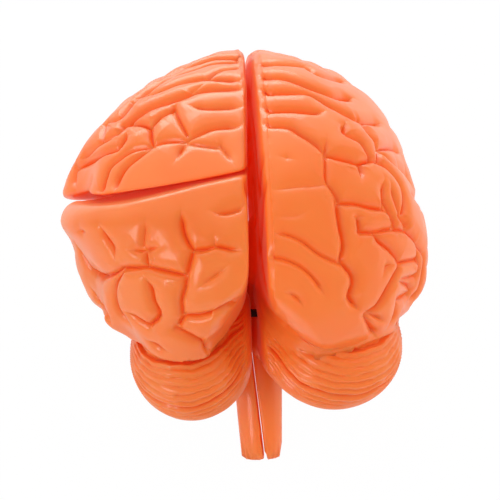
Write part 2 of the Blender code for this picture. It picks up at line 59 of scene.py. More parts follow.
# %% From the anatomist's frame to the table
MM = 0.001
NOSE_DOWN = math.radians(28.0)
REAR_PIN = np.array([1.0, -42.0, -19.4])        # middle of the rear pin, mm
LEAN = np.array([
    [1, 0, 0],
    [0, math.cos(NOSE_DOWN), math.sin(NOSE_DOWN)],
    [0, -math.sin(NOSE_DOWN), math.cos(NOSE_DOWN)],
])
pin_low, pin_high = (np.array(corner[:]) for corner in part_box("rear_pin"))
STAND = (pin_low + pin_high) / 2 - LEAN @ REAR_PIN * MM
FLIP = {1: np.array([1, 1, 1]), -1: np.array([-1, 1, 1])}       # the left side is described mirrored


def on_table(points, side=1):
    """Millimetres in the anatomist's frame, mirrored for the left side, to metres on the table."""
    return (points * FLIP[side] * MM) @ LEAN.T + STAND


print("the brain's frame stands at", np.round(STAND * 1000, 2), "mm")

# %% [markdown]
# The photograph was taken from behind and from above, with a long lens. The eye is placed in the
# anatomist's frame, because the fold lines below were drawn through it as well.

# %% The eye and the camera
EYE_DISTANCE, EYE_ABOVE, EYE_LEFT, EYE_ROLL = 650.0, 30.0, 2.5, -0.4
PX_PER_MM, AIM_PX, AIM_POINT, FRAME_PX = 2.58, (251.0, 226.0), (0.0, -10.0, 0.0), 500.0


def unit(v):
    v = np.asarray(v, float)
    return v / np.linalg.norm(v, axis=-1, keepdims=True)


def eye():
    """The eye's position, and its forward, right and up directions."""
    above, left, roll = (math.radians(v) for v in (EYE_ABOVE, EYE_LEFT, EYE_ROLL))
    back = np.array([-math.sin(left) * math.cos(above), -math.cos(left) * math.cos(above), math.sin(above)])
    right = unit(np.cross(-back, (0, 0, 1)))
    up = np.cross(right, -back)
    return (np.array(AIM_POINT) + back * EYE_DISTANCE, -back,
            math.cos(roll) * right + math.sin(roll) * up, math.cos(roll) * up - math.sin(roll) * right)


def add_camera():
    where, forward, right, up = eye()
    data = bpy.data.cameras.new("camera")
    data.sensor_width = 36.0
    data.lens = PX_PER_MM * EYE_DISTANCE / FRAME_PX * data.sensor_width
    data.shift_x = (FRAME_PX / 2 - AIM_PX[0]) / FRAME_PX
    data.shift_y = (AIM_PX[1] - FRAME_PX / 2) / FRAME_PX
    data.clip_start, data.clip_end = 0.01, 20
    camera = bpy.data.objects.new("camera", data)
    turn = Matrix([list(row) for row in (LEAN @ np.array([right, up, -forward]).T)]).to_4x4()
    camera.matrix_world = Matrix.Translation(on_table(where)) @ turn
    bpy.context.scene.collection.objects.link(camera)
    bpy.context.scene.camera = camera
    return camera


camera = add_camera()
print("camera at", tuple(round(v, 3) for v in camera.location), "lens", round(camera.data.lens, 1), "mm")

# %% [markdown]
# Soft PVC for such models is slush moulded: liquid vinyl gels against a hot mould, so the skin takes
# every detail of the mould and comes out evenly glossy, a little waxy, with light going a few
# millimetres in. In a deep gap light bounces from orange to orange and turns red. On top of that,
# painted shade mixes the colour towards red wherever ambient occlusion finds a fold.

# %% Helpers for colours and nodes
def srgb(text):
    """A hex colour as the linear values that Blender works with."""
    parts = [int(text[n:n + 2], 16) / 255 for n in (0, 2, 4)]
    return tuple(c / 12.92 if c <= 0.04045 else ((c + 0.055) / 1.055) ** 2.4 for c in parts) + (1.0,)


def fill_in(tree, node, inputs):
    """Gives each named socket a value, or a link from another node's output."""
    for name, value in inputs.items():
        if isinstance(value, bpy.types.NodeSocket):
            tree.links.new(value, node.inputs[name])
        else:
            node.inputs[name].default_value = value


def add_node(tree, kind, inputs=None, **settings):
    node = tree.nodes.new(kind)
    for name, value in settings.items():
        setattr(node, name, value)
    fill_in(tree, node, inputs or {})
    return node


def map_range(tree, value, source, target=(0.0, 1.0), **settings):
    """A value carried from one range to another."""
    ends = {"From Min": source[0], "From Max": source[1], "To Min": target[0], "To Max": target[1]}
    return add_node(tree, "ShaderNodeMapRange", {"Value": value, **ends}, **settings).outputs["Result"]


def math_node(tree, operation, a, b):
    return add_node(tree, "ShaderNodeMath", {0: a, 1: b}, operation=operation).outputs[0]


def noise(tree, place, scale, detail, roughness=0.5):
    inputs = {"Vector": place, "Scale": scale, "Detail": detail, "Roughness": roughness}
    return add_node(tree, "ShaderNodeTexNoise", inputs).outputs["Fac"]


def mix_colour(tree, share, a, b):
    return add_node(tree, "ShaderNodeMix", {"Factor": share, 6: a, 7: b}, data_type="RGBA").outputs[2]


def mix_shader(tree, share, a, b):
    return add_node(tree, "ShaderNodeMixShader", {"Fac": share, 1: a, 2: b}).outputs[0]


def new_material(name):
    """A material, its node tree and its Principled BSDF."""
    material = bpy.data.materials.new(name)
    material.use_nodes = True
    return material, material.node_tree, material.node_tree.nodes["Principled BSDF"]


# %% Moulded vinyl
VINYL, VINYL_PALE, VINYL_DEEP = srgb("F98A34"), srgb("FA923C"), srgb("F8822C")
# the second colour on this line is painted shade, mixed in where ambient occlusion finds a fold
VINYL_LIT_THROUGH, PAINTED_FOLD_SHADE = srgb("FF7A2C"), srgb("FF6420")
WALL_SHINE = 0.34               # share of the light on a wall that comes out on its other side
COAT = 0.5                      # a film of plasticiser that has come to the surface; ambient occlusion thins it in shaded folds, which dims their gloss as painted shade
FOLD_REACH = 0.012              # m; walls nearer than this shade one another


def moulded_vinyl(name):
    material, tree, skin = new_material(name)
    place = add_node(tree, "ShaderNodeTexCoord").outputs["Object"]
    # cloudy flow of the pigment, 25 mm across, and finer streaks of 6 mm
    tone = add_node(tree, "ShaderNodeValToRGB", {"Fac": noise(tree, place, 40.0, 2.0, 0.55)})
    for stop, position, colour in zip(tone.color_ramp.elements, (0.32, 0.68), (VINYL_DEEP, VINYL_PALE)):
        stop.position, stop.color = position, colour
    blend = mix_colour(tree, noise(tree, place, 160.0, 3.0), tone.outputs["Color"], VINYL)
    # painted shade: where ambient occlusion finds a fold, the colour is mixed towards a deep red
    open_sky = add_node(tree, "ShaderNodeAmbientOcclusion", {"Distance": FOLD_REACH}, samples=8).outputs["AO"]
    share = map_range(tree, open_sky, (0.12, 0.74))
    # orange peel of a moulded skin, 1.5 mm across
    peel = {"Height": noise(tree, place, 620.0, 2.0), "Strength": 0.03, "Distance": 0.0006}
    fill_in(tree, skin, {
        # painted shade: the colour turns deep red where the folds are shaded
        "Base Color": mix_colour(tree, share, PAINTED_FOLD_SHADE, blend),
        # the mould was polished by hand, so the gloss varies over 10 mm
        "Roughness": map_range(tree, noise(tree, place, 95.0, 4.0, 0.6), (0.3, 0.7), (0.33, 0.43)),
        "Normal": add_node(tree, "ShaderNodeBump", peel).outputs["Normal"],
        "IOR": 1.5,
        "Subsurface Weight": 0.25,
        "Subsurface Radius": (1.0, 0.3, 0.15),
        "Subsurface Scale": 0.0014,
        # painted shade: the coat follows ambient occlusion, so shaded folds lose their gloss
        "Coat Weight": math_node(tree, "MULTIPLY", share, COAT),
        "Coat Roughness": 0.13,
        # haze that pales the vinyl where it is seen at a low angle
        "Sheen Weight": 0.22,
        "Sheen Roughness": 0.35,
        "Sheen Tint": (1.0, 0.8, 0.52, 1.0),
    })
    through = add_node(tree, "ShaderNodeBsdfTranslucent", {"Color": VINYL_LIT_THROUGH}).outputs[0]
    wall = mix_shader(tree, WALL_SHINE, skin.outputs[0], through)
    fill_in(tree, tree.nodes["Material Output"], {"Surface": wall})
    return material


vinyl = moulded_vinyl("slush_moulded_vinyl")
print("vinyl base colour", [round(c, 3) for c in VINYL[:3]])

# %% Black nylon of the pins
def turned_nylon(name):
    """Drawn black nylon rod: nearly matte, with faint turning marks every 0.4 mm."""
    material, tree, skin = new_material(name)
    place = add_node(tree, "ShaderNodeTexCoord").outputs["Object"]
    marks = noise(tree, place, 900.0, 3.0)
    tone = add_node(tree, "ShaderNodeValToRGB", {"Fac": marks})
    for stop, colour in zip(tone.color_ramp.elements, ("140604", "34120A")):
        stop.color = srgb(colour)
    bump = add_node(tree, "ShaderNodeBump", {"Height": marks, "Strength": 0.2, "Distance": 0.0002})
    fill_in(tree, skin, {
        "Base Color": tone.outputs["Color"], "Normal": bump.outputs["Normal"],
        "Roughness": 0.7, "Specular IOR Level": 0.2,
    })
    return material


nylon = turned_nylon("turned_black_nylon")

# %% [markdown]
# Each casting is one smooth solid described by a signed number: below zero inside, above zero
# outside, in millimetres near the surface. Solids are joined, cut and rounded by taking smooth
# maxima and minima of such numbers. The table of sections gives half the cerebrum from front to back.

# %% Sections of the cerebrum
STATIONS = [
    # y, half width, top, underside, widest height
    (-88, 66, 54, -28, 2), (-60, 70, 56, -31, 2), (-40, 72, 58, -41, 0), (-20, 70, 59, -45, 0), (0, 67, 59, -45, 0),
    (20, 64, 58, -43, 2), (45, 60, 54.5, -37, 4), (70, 58, 48, -35, 5), (90, 54, 42, -33, 6),
]
HALF_LENGTH, ORBITAL_Z, LEDGE, UNDER_END = 86.0, -28.0, 5.0, 2.5
CORNER_POWER, FLOOR_Z = 1.6, 0.0
CORNER_BLEND, CORNER_BLEND_TOP = {"right": 14.0, "lower": 9.0, "upper": 4.0}, 8.0
CORNER_RIGHT = [
    # y, how far out the underside levels off, the height where it starts, and where it levels off
    (-95, 39, 21, -13.5), (-75, 39, 16, -21.5), (-60, 39, 7, -30.5), (-45, 36, 1, -36.5),
    (-30, 34, -7, -44), (-10, 34, -12, -50), (14, 34, -22, -52), (30, 20, -32, -60),
]
CORNER_LEFT = [
    (-95, 36, 28, -19), (-75, 36, 22.5, -26), (-60, 36, 14.5, -35), (-45, 36, 3.5, -45),
    (-30, 35, -5, -49), (-10, 34, -12, -50), (14, 34, -22, -52), (30, 20, -32, -60),
]
SIDES = {
    # added half width, and behind the middle only; added top, back underside and widest line;
    # roundness above and below the widest line and of the ends from above; the corner
    "right": (3.0, -4.7, 3.9, -11.2, -3.6, 1.95, 2.50, 2.5, CORNER_RIGHT),
    "lower": (-0.5, 0.0, 0.0, -19.5, 3.9, 2.35, 2.30, 2.5, CORNER_LEFT),
    "upper": (3.4, 3.8, 1.2, -4.0, 0.0, 2.12, 2.30, 1.8, CORNER_LEFT),
}
# Gyri that stand out at the rim and hollows between them: where the eye sees them, radius, height
SWELLS = {
    "right": [
        ((277, 46), 14, -2.0), ((345, 77), 9, -0.9), ((407, 168), 9, -0.8), ((388, 336), 9, 1.2),
        ((413, 300), 8, -2.0),
    ],
    "lower": [
        ((86, 285), 8, -4.0), ((106, 324), 7, 3.0), ((128, 338), 6, -3.3), ((151, 353), 7, -1.0),
        ((183, 362), 10, 6.4), ((214, 354), 8, -3.6), ((243, 315), 9, -2.5),
    ],
    "upper": [((231, 51), 12, 1.9), ((208, 53), 12, 0.8), ((72, 184), 8, -4.0)],
}
CUT_GAP, CUT_GAPE, SEAT, LIFT = 0.6, 1.6, 0.5, 30.0
CUT_AT, CUT_FALL = (34.3, -47.6, 38.2), (0.195, 0.404)          # a point of the cut, its fall outward and forward
CUT_END = (54, 67)              # mm from the middle, where the cut runs out at the side
VERMIS = {"right": ((8, -42, -25), (15, 22, 14)), "left": ((7, -42, -27.5), (13, 22, 14.5))}
CEREBELLUM = {"right": ((28.4, -50, -28.6), (26.5, 31, 21.2)), "left": ((24.3, -50, -31.6), (23.4, 30, 21.8))}
STEM_TOP, STEM_END, STEM_R = (0.4, -11.2, -12.9), (1.8, -50.75, -81.3), (11.6, 7.9)
GRID_Y = np.arange(-110.0, 110.0, 0.5)


def eased_table(rows):
    """The columns of a station table on a fine grid of y, with the corners rounded over 16 mm."""
    table = np.array(rows, float)
    easing = list(zip((1, 2, 3, 2, 1), (-8, -4, 0, 4, 8)))
    return np.stack([
        sum(weight * np.interp(GRID_Y + step, table[:, 0], table[:, c]) for weight, step in easing) / 9
        for c in range(1, table.shape[1])
    ], axis=1)


SECTIONS = eased_table(STATIONS)
CORNERS = {side: eased_table(values[-1]) for side, values in SIDES.items()}


def read(table, y):
    """All the columns of an eased table at y."""
    at = np.clip((y - GRID_Y[0]) * 2, 0, len(GRID_Y) - 1.001)
    low = at.astype(int)
    part = (at - low)[..., None]
    found = table[low] * (1 - part) + table[low + 1] * part
    return [found[..., c] for c in range(found.shape[-1])]


print("sections at", len(GRID_Y), "places along the brain")

# %% The solids
def smooth_max(a, b, k):
    h = np.clip(0.5 + 0.5 * (a - b) / k, 0, 1)
    return b * (1 - h) + a * h + k * h * (1 - h)


def smooth_min(a, b, k):
    return -smooth_max(-a, -b, k)


def smooth_step(low, high, value):
    t = np.clip((value - low) / (high - low), 0, 1)
    return t * t * (3 - 2 * t)


def midline(y, side):
    """How far a half's flat face stands off the middle."""
    if side == "right":
        return 0.12 + 0.028 * (-5 - np.clip(y, -90, -5))
    back = -5 - np.clip(y, -90, -5)
    return 0.1 + 0.0378 * (back + np.minimum(back, 25))


def over_cut(p):
    """Height over the cut between the two left pieces."""
    x, y, z = np.moveaxis(p, -1, 0)
    level = CUT_AT[2] - CUT_FALL[0] * (x - CUT_AT[0]) - CUT_FALL[1] * (y - CUT_AT[1])
    level = level - 0.22 * np.maximum(y + 22, 0) - 1.4 * np.maximum(y - 22, 0)
    return 0.88 * (z - level)


def ellipsoid(p, centre, radii):
    q = (p - np.array(centre)) / np.array(radii)
    size = np.linalg.norm(q, axis=-1)
    return size * (size - 1) / (np.linalg.norm(q / np.array(radii), axis=-1) + 1e-9)


def half_cerebrum(p, side):
    """Half a cerebrum from its sections, with the inner lower corner taken off."""
    x, y, z = np.moveaxis(p, -1, 0)
    wider, rear, taller, deeper, raised, above, below, ends, _ = SIDES[side]
    half, top, bottom, widest = read(SECTIONS, y)
    half, top, widest = half + wider + rear * smooth_step(30, -10, y), top + taller, widest + raised
    bottom = bottom + deeper * smooth_step(-48, -62, y)
    if side == "lower":
        half = half + LEDGE * np.exp(-(((over_cut(p) + 7) / 6.5) ** 2)) * smooth_step(20, 0, y)
    closing, under = (np.clip(1 - np.abs(y / HALF_LENGTH) ** n, 2e-3, 1) ** (1 / 2.1) for n in (ends, UNDER_END))
    u = np.abs(x / (half * closing))
    over, below_it = (top - widest) * closing, (bottom - widest) * under
    v = np.abs(np.where(z > widest, (z - widest) / over, (z - widest) / below_it))
    power = np.where(z > widest, above, below)
    d = ((u**power + v**power) ** (1 / power) - 1) * 45
    d = smooth_max(d, np.abs(y) - HALF_LENGTH + 0.6, 3)
    d = smooth_max(d, -(z - ORBITAL_Z + (1 - smooth_step(22, 44, y)) * 60), 7)
    level_x, leave_z, level_z = read(CORNERS[side], y)
    across = np.maximum(level_x - x, 0) / level_x
    down = np.maximum(leave_z - z, 0) / (leave_z - level_z)
    inner = (across ** CORNER_POWER + down ** CORNER_POWER) ** (1 / CORNER_POWER)
    blend = CORNER_BLEND[side]
    if side == "right":
        blend = CORNER_BLEND_TOP + (blend - CORNER_BLEND_TOP) * smooth_step(25, -5, z)
    return smooth_max(d, (inner - 1) * 25, blend)


def narrowed(inner, outer, is_inside, times):
    """Halves the way from inside a solid to outside it, again and again."""
    for _ in range(times):
        middle = (inner + outer) / 2
        is_in = is_inside(middle)
        inner, outer = np.where(is_in, middle, inner), np.where(is_in, outer, middle)
    return inner, outer


def met_by_eye(px, field, side):
    """Where the eye's rays through the drawn points meet the solid, or pass it nearest."""
    origin, forward, right, up = eye()
    focal = PX_PER_MM * EYE_DISTANCE
    rays = unit(forward + ((px[:, :1] - AIM_PX[0]) / focal) * right - ((px[:, 1:] - AIM_PX[1]) / focal) * up)
    path = origin + rays[:, None, :] * np.arange(500.0, 800.0, 1.0)[None, :, None]
    value = field(path * FLIP[side])
    met = (value < 0).any(axis=1)
    chosen = np.where(met, (value < 0).argmax(axis=1), value.argmin(axis=1))
    inner = path[np.arange(len(px)), chosen] * FLIP[side]
    outer = inner - np.where(met, 1.0, 0.0)[:, None] * rays * FLIP[side]
    return sum(narrowed(inner, outer, lambda middle: (field(middle) < 0)[:, None], 8)) / 2


def swells_met(half):
    """The middles of a half's swells, on its solid."""
    px = np.array([at for at, _, _ in SWELLS[half]], float)
    return met_by_eye(px, lambda p: half_cerebrum(p, half), 1 if half == "right" else -1)


swell_centres = {half: swells_met(half) for half in SWELLS}


def cerebrum(p, side):
    d = half_cerebrum(p, side)
    for (_, radius, height), centre in zip(SWELLS[side], swell_centres[side]):
        d = d - height * np.exp(-((p - centre) ** 2).sum(axis=-1) / (2 * radius**2))
    return smooth_max(d, midline(p[..., 1], side) - p[..., 0], 4 if side == "right" else 3)


def cerebellum(p, side):
    d = smooth_min(ellipsoid(p, *CEREBELLUM[side]), ellipsoid(p, *VERMIS[side]), 5)
    return smooth_max(d, midline(p[..., 1], side) * 0.6 + 0.2 - p[..., 0], 4)


def stem(p):
    """The whole brainstem: a tapered bar with the pons on its front."""
    a, b = np.array(STEM_TOP), np.array(STEM_END)
    t = ((p - a) @ (b - a)) / ((b - a) @ (b - a))
    q = p - a - np.clip(t, 0, 1)[..., None] * (b - a)
    r = STEM_R[0] + (STEM_R[1] - STEM_R[0]) * np.clip(t, 0, 1)
    d = smooth_min(np.linalg.norm(q, axis=-1) - r, ellipsoid(p, (0.8, -10, -38), (15.5, 12, 13)), 4)
    return smooth_max(d, (t - 1) * np.linalg.norm(b - a), 2.5)


def above_floor(d, p, side):
    """The castings are trimmed flat where they rest on the table."""
    height = p[..., 1] * LEAN[2, 1] + p[..., 2] * LEAN[2, 2] + STAND[2] / MM
    return np.maximum(d, FLOOR_Z - height)


def half_stem(p, side):
    """Half the brainstem; the halves part along a leaning plane."""
    split = 0.35 + 0.11 * (-56 - p[..., 2])
    return above_floor(smooth_max(stem(p * FLIP[side]), 0.25 + side * split - p[..., 0], 1.2), p, side)


def left_upper_solid(p):
    """The piece above the cut, with its lower edge rounded most at the side of the head."""
    rounding = 2.0 + 3.0 * smooth_step(*CUT_END, p[..., 0])
    return above_floor(smooth_max(cerebrum(p, "upper"), CUT_GAP / 2 - over_cut(p), rounding), p, -1)


SOLIDS = {
    "right_cerebrum": lambda p: above_floor(cerebrum(p, "right"), p, 1),
    "right_cerebellum": lambda p: cerebellum(p, "right"),
    "right_stem": lambda p: half_stem(p, 1),
    "left_upper": left_upper_solid,
    "left_cerebellum": lambda p: smooth_max(cerebellum(p, "left"), SEAT - stem(p * FLIP[-1]), 1.5),
    "left_stem": lambda p: half_stem(p, -1),
}


def left_lower(p):
    x = p[..., 0]
    gape = CUT_GAP / 2 + CUT_GAPE * smooth_step(18, 56, x) * (1 - 0.8 * smooth_step(58, 69, x))
    d = smooth_max(cerebrum(p, "lower"), over_cut(p) + gape, 1.6 + 2.0 * smooth_step(*CUT_END, x))
    d = smooth_max(d, SEAT - cerebellum(p, "left"), 3.0)
    low = (x < 22) & (p[..., 2] < 2)
    lifted = np.full(d.shape, 50.0)
    steps = [stem(p[low] * FLIP[-1] + np.array([0, 0, rise])) for rise in np.linspace(0, LIFT, 11)]
    lifted[low] = np.min(steps, axis=0)
    return smooth_max(d, SEAT - lifted, 1.5)


SOLIDS["left_lower"] = left_lower
print("solids:", ", ".join(SOLIDS))

# %% [markdown]
# A casting's skin starts as a cube whose faces are cut into a fine net and blown up to a ball. Every
# point of the ball is then pushed out from the casting's middle until it leaves the solid. More of
# the net is drawn towards the eye, so that the folds there are sharp.

# %% A net pulled over a solid
def net(name, cuts, towards, pull):
    """A ball as an object, its directions from the centre, and its four-sided faces."""
    mesh = bpy.data.meshes.new(name)
    cage = bmesh.new()
    bmesh.ops.create_cube(cage, size=2.0)
    bmesh.ops.subdivide_edges(cage, edges=cage.edges[:], cuts=cuts - 1, use_grid_fill=True)
    cage.to_mesh(mesh)
    cage.free()
    obj = bpy.data.objects.new(name, mesh)
    bpy.context.scene.collection.objects.link(obj)
    points = np.empty(len(mesh.vertices) * 3, np.float32)
    mesh.vertices.foreach_get("co", points)
    quads = np.empty(len(mesh.polygons) * 4, np.int32)
    mesh.polygons.foreach_get("vertices", quads)
    directions = unit(np.tan(points.reshape(-1, 3).astype(float) * math.pi / 4))
    return obj, unit(directions + pull * unit(towards)), quads.reshape(-1, 4)


def march(solid, centre, directions, reach=128.0, stride=2.0):
    """Where each ray from the centre first leaves the solid."""
    centre = np.array(centre, float)
    inside = np.full(len(directions), 1.0)
    going = np.arange(len(directions))
    for step in np.arange(1.0 + stride, reach, stride):
        still = solid(centre + directions[going] * step) <= 0
        going = going[still]
        if len(going) == 0:
            break
        inside[going] = step
    ends = narrowed(inside, inside + stride, lambda middle: solid(centre + directions * middle[:, None]) < 0, 11)
    return centre + directions * (sum(ends) / 2)[:, None]


def normals_of(points, quads):
    a, b, c, d = (points[quads[:, n]] for n in range(4))
    flat = np.cross(c - a, d - b)
    total = np.zeros_like(points)
    for corner in range(4):
        for axis in range(3):
            total[:, axis] += np.bincount(quads[:, corner], flat[:, axis], len(points))
    return unit(total + 1e-12)


def finish_skin(obj, points, side):
    """Writes the points back, in place on the table."""
    mesh = obj.data
    mesh.vertices.foreach_set("co", on_table(points, side).astype(np.float32).ravel())
    if side < 0:
        mesh.flip_normals()
    mesh.shade_smooth()
    mesh.update()
    return obj


# %% [markdown]
# The folds follow lines drawn over the photograph: each drawn point is a ray from the eye, laid on
# the casting where it first meets it. The first number of each line is how deep the fold is. Sides
# that the photograph doesn't show are folded by waves, whose zero lines wander as the cortex does.

# %% Fold lines of the left upper piece
FOLDS_UPPER = [
    (1.2, [(161, 77), (175, 69), (191, 63), (215, 56), (243, 55)]),
    (1.4, [(134, 96), (153, 84), (172, 74), (191, 68), (212, 61), (243, 58)]),
    (1.5, [(118, 115), (135, 97), (159, 88), (183, 80), (207, 76), (243, 78)]),
    (0.6, [(207, 75), (220, 68), (243, 65)]),
    (1.5, [(121, 123), (139, 110), (159, 101), (183, 94), (199, 89), (223, 87), (243, 87)]),
    (0.3, [(191, 89), (207, 81)]),
    (0.7, [(188, 104), (207, 106), (231, 105), (243, 106)]),
    (0.7, [(173, 105), (180, 121), (186, 132)]),
    (0.9, [(150, 124), (159, 114), (169, 109), (173, 104)]),
    (0.9, [(124, 121), (138, 121), (148, 125), (149, 134), (151, 143)]),
    (0.8, [(186, 137), (199, 131), (215, 125), (243, 124)]),
    (0.9, [(151, 143), (166, 139), (186, 138)]),
    (0.6, [(186, 140), (199, 143), (215, 145)]),
    (0.7, [(183, 142), (179, 151), (174, 161)]),
    (1.0, [(75, 167), (89, 161), (104, 151), (115, 147), (123, 136), (124, 129)]),
    (0.9, [(77, 159), (85, 153), (96, 143), (108, 136), (118, 129), (124, 121)]),
    (0.7, [(99, 139), (102, 126), (105, 121), (115, 117)]),
    (0.9, [(98, 196), (102, 180), (107, 167), (116, 158), (131, 148), (148, 144)]),
    (0.9, [(113, 193), (116, 179), (124, 166), (137, 155), (151, 145)]),
    (0.5, [(220, 143), (228, 153), (234, 164)]),
    (0.7, [(73, 167), (72, 180), (75, 190)]),
]

# %% Fold lines of the left lower piece
FOLDS_LOWER = [
    (0.8, [(98, 225), (104, 240), (110, 249), (112, 261)]),
    (0.5, [(145, 217), (143, 232), (141, 246)]),
    (0.7, [(126, 250), (140, 252), (153, 248), (161, 247)]),
    (0.8, [(143, 251), (144, 269)]),
    (0.9, [(120, 270), (132, 270), (144, 269), (159, 272), (182, 277)]),
    (0.9, [(180, 208), (182, 229), (186, 241), (192, 250)]),
    (0.9, [(192, 250), (206, 249), (215, 246), (231, 249), (246, 251)]),
    (0.5, [(214, 234), (214, 245)]),
    (0.7, [(209, 210), (223, 212), (247, 206)]),
    (0.9, [(191, 254), (185, 277), (183, 289), (179, 304), (180, 318)]),
    (0.9, [(177, 328), (183, 320), (199, 319), (218, 314), (228, 308), (239, 303)]),
    (0.8, [(174, 332), (191, 340), (212, 351)]),
    (0.9, [(141, 277), (148, 291), (151, 304), (157, 318), (148, 328)]),
    (0.9, [(118, 273), (112, 286), (112, 302), (118, 315), (131, 328)]),
    (0.7, [(123, 312), (136, 321), (147, 328)]),
    (0.6, [(74, 233), (86, 233)]),
    (1.0, [(73, 243), (80, 256), (89, 270), (97, 278), (108, 277), (118, 270)]),
    (0.5, [(198, 289), (214, 277), (230, 265)]),
    (0.7, [(145, 340), (159, 350), (169, 353)]),
    (0.8, [(91, 289), (99, 308), (110, 326)]),
]

# %% Fold lines of the right half
FOLDS_RIGHT = [
    (1.2, [(257, 62), (282, 62), (306, 65), (317, 72), (338, 78), (346, 80)]),
    (1.4, [(257, 75), (282, 76), (301, 81), (322, 89), (338, 95), (354, 96)]),
    (1.4, [(257, 90), (285, 90), (306, 91), (319, 96), (333, 104), (349, 112), (362, 120)]),
    (1.1, [(257, 108), (290, 107), (314, 110), (325, 110)]),
    (0.7, [(257, 124), (287, 124), (301, 132), (317, 143), (327, 153)]),
    (0.6, [(327, 136), (327, 153), (327, 167), (328, 180), (336, 191), (342, 201)]),
    (0.9, [(347, 120), (346, 131), (362, 140), (370, 151), (374, 158)]),
    (1.0, [(362, 118), (371, 132), (379, 143), (382, 158)]),
    (0.9, [(327, 153), (339, 156), (352, 159), (362, 161), (374, 158)]),
    (0.7, [(362, 161), (364, 171), (363, 180)]),
    (1.0, [(374, 158), (386, 163), (397, 174), (405, 188), (408, 202), (407, 212)]),
    (0.7, [(386, 177), (386, 191), (387, 206)]),
    (0.9, [(342, 202), (358, 202), (374, 206), (387, 208)]),
    (0.8, [(392, 182), (397, 196), (403, 212), (410, 223)]),
    (0.8, [(365, 120), (382, 123)]),
    (0.8, [(382, 147), (393, 147), (401, 153)]),
    (0.8, [(384, 150), (397, 163), (409, 175), (416, 188)]),
    (0.8, [(387, 207), (397, 217), (400, 230)]),
    (0.5, [(352, 216), (368, 216)]),
    (0.8, [(361, 217), (361, 221), (363, 232)]),
    (0.9, [(339, 200), (342, 224), (346, 245), (344, 262), (355, 277), (355, 289), (352, 299), (362, 313)]),
    (0.7, [(271, 233), (287, 234), (303, 241), (320, 254), (336, 262), (346, 265)]),
    (0.7, [(266, 257), (285, 260), (301, 267), (314, 278), (322, 289), (327, 297)]),
    (0.6, [(282, 292), (293, 296), (303, 305), (304, 312)]),
    (0.8, [(362, 232), (378, 232), (393, 229), (409, 230)]),
    (0.9, [(378, 233), (382, 241), (393, 249), (401, 259), (403, 267), (398, 278), (390, 292), (378, 310), (368, 316)]),
    (0.8, [(403, 264), (422, 261)]),
    (0.8, [(401, 283), (419, 278), (422, 264)]),
    (0.8, [(400, 302), (411, 296), (413, 288), (406, 283)]),
    (0.8, [(400, 304), (397, 318), (389, 328)]),
    (0.8, [(368, 318), (376, 339)]),
    (0.8, [(371, 316), (387, 323)]),
    (1.0, [(409, 230), (419, 240), (422, 253), (422, 272)]),
    (0.4, [(279, 156), (295, 159)]),
    (0.3, [(271, 190), (298, 186), (314, 185), (327, 183)]),
    (0.3, [(274, 217), (298, 215), (309, 210)]),
    (0.6, [(384, 277), (390, 267), (398, 264)]),
    (0.8, [(422, 245), (427, 256), (425, 275), (419, 294), (409, 304)]),
    (0.8, [(387, 200), (393, 210), (398, 229)]),
    (0.8, [(403, 216), (411, 226)]),
]

# %% Folds that no view from behind shows
FISSURE = [(38, -20), (20, -8), (0, 2), (-20, 14), (-30, 24)]
MIDLINE = [
    [(44, -14), (52, 4), (46, 24), (28, 36), (4, 40), (-20, 38), (-34, 30), (-44, 34), (-48, 52)],
    [(20, -6), (34, -4), (38, 8), (28, 20), (8, 26), (-14, 24), (-30, 14), (-36, 4)],
    [(24, 0), (27, 8), (18, 15), (2, 18), (-14, 16), (-24, 8)],
    [(-36, 4), (-46, 14), (-56, 32), (-58, 48)],
    [(-44, 10), (-58, 6), (-74, 6)],
    [(10, 10), (-2, 12), (-14, 6), (-12, -4), (2, -4), (12, 2), (10, 10)],
    [(62, 0), (64, 20), (54, 38)],
    [(10, 42), (8, 56)],
]
print(len(FOLDS_UPPER), "+", len(FOLDS_LOWER), "+", len(FOLDS_RIGHT), "fold lines")

# %% Lay the lines and press the folds
def curved(line, gap):
    """A Catmull-Rom curve through the drawn points, sampled every gap."""
    p = np.array(line, float)
    p = np.vstack([2 * p[0] - p[1], p, 2 * p[-1] - p[-2]])
    out = []
    for a, b, c, d in zip(p[:-3], p[1:-2], p[2:-1], p[3:]):
        n = max(2, int(np.linalg.norm(c - b) / gap))
        for t in np.linspace(0, 1, n, endpoint=False):
            bend = (2 * a - 5 * b + 4 * c - d) * t**2 + (3 * b - a - 3 * c + d) * t**3
            out.append(0.5 * (2 * b + (c - a) * t + bend))
    return np.array(out + [p[-2]])


def nearest_on(points, line):
    """The nearest place on a polyline: its distance, the place, and how far it is from both ends."""
    best, place, foot = np.full(len(points), 1e9), np.zeros(len(points)), np.zeros_like(points)
    lengths = np.linalg.norm(np.diff(line, axis=0), axis=1)
    starts = np.concatenate([[0], np.cumsum(lengths)])
    for n, (a, b) in enumerate(zip(line[:-1], line[1:])):
        ab = b - a
        t = np.clip(((points - a) @ ab) / (ab @ ab + 1e-12), 0, 1)
        at = a + t[:, None] * ab
        d = np.linalg.norm(points - at, axis=1)
        nearer = d < best
        best, place = np.where(nearer, d, best), np.where(nearer, starts[n] + t * lengths[n], place)
        foot[nearer] = at[nearer]
    return best, foot, place, starts[-1] - place


GYRUS, NICK = 6.0, 1.15         # mm: half width of the widest gyrus, and of a furrow
FURROW = 0.3                    # the furrow's share of the depth
FADE, JOINED = 6.0, 2.5         # mm: a free end fades over this; a nearer end runs into another fold


def crown(across, steep=2.2):
    """A gyrus in section: 0 in the fold beside it, steep at first, 1 on its crown."""
    return np.sqrt(np.clip(1 - (1 - np.clip(across, 0, 1)) ** steep, 0, 1))


def rest_of(lines, line):
    """The points of all the other lines: a fold that runs into another keeps its depth there."""
    others = [other for _, other in lines if other is not line]
    return np.concatenate(others) if others else np.zeros((0, 3))


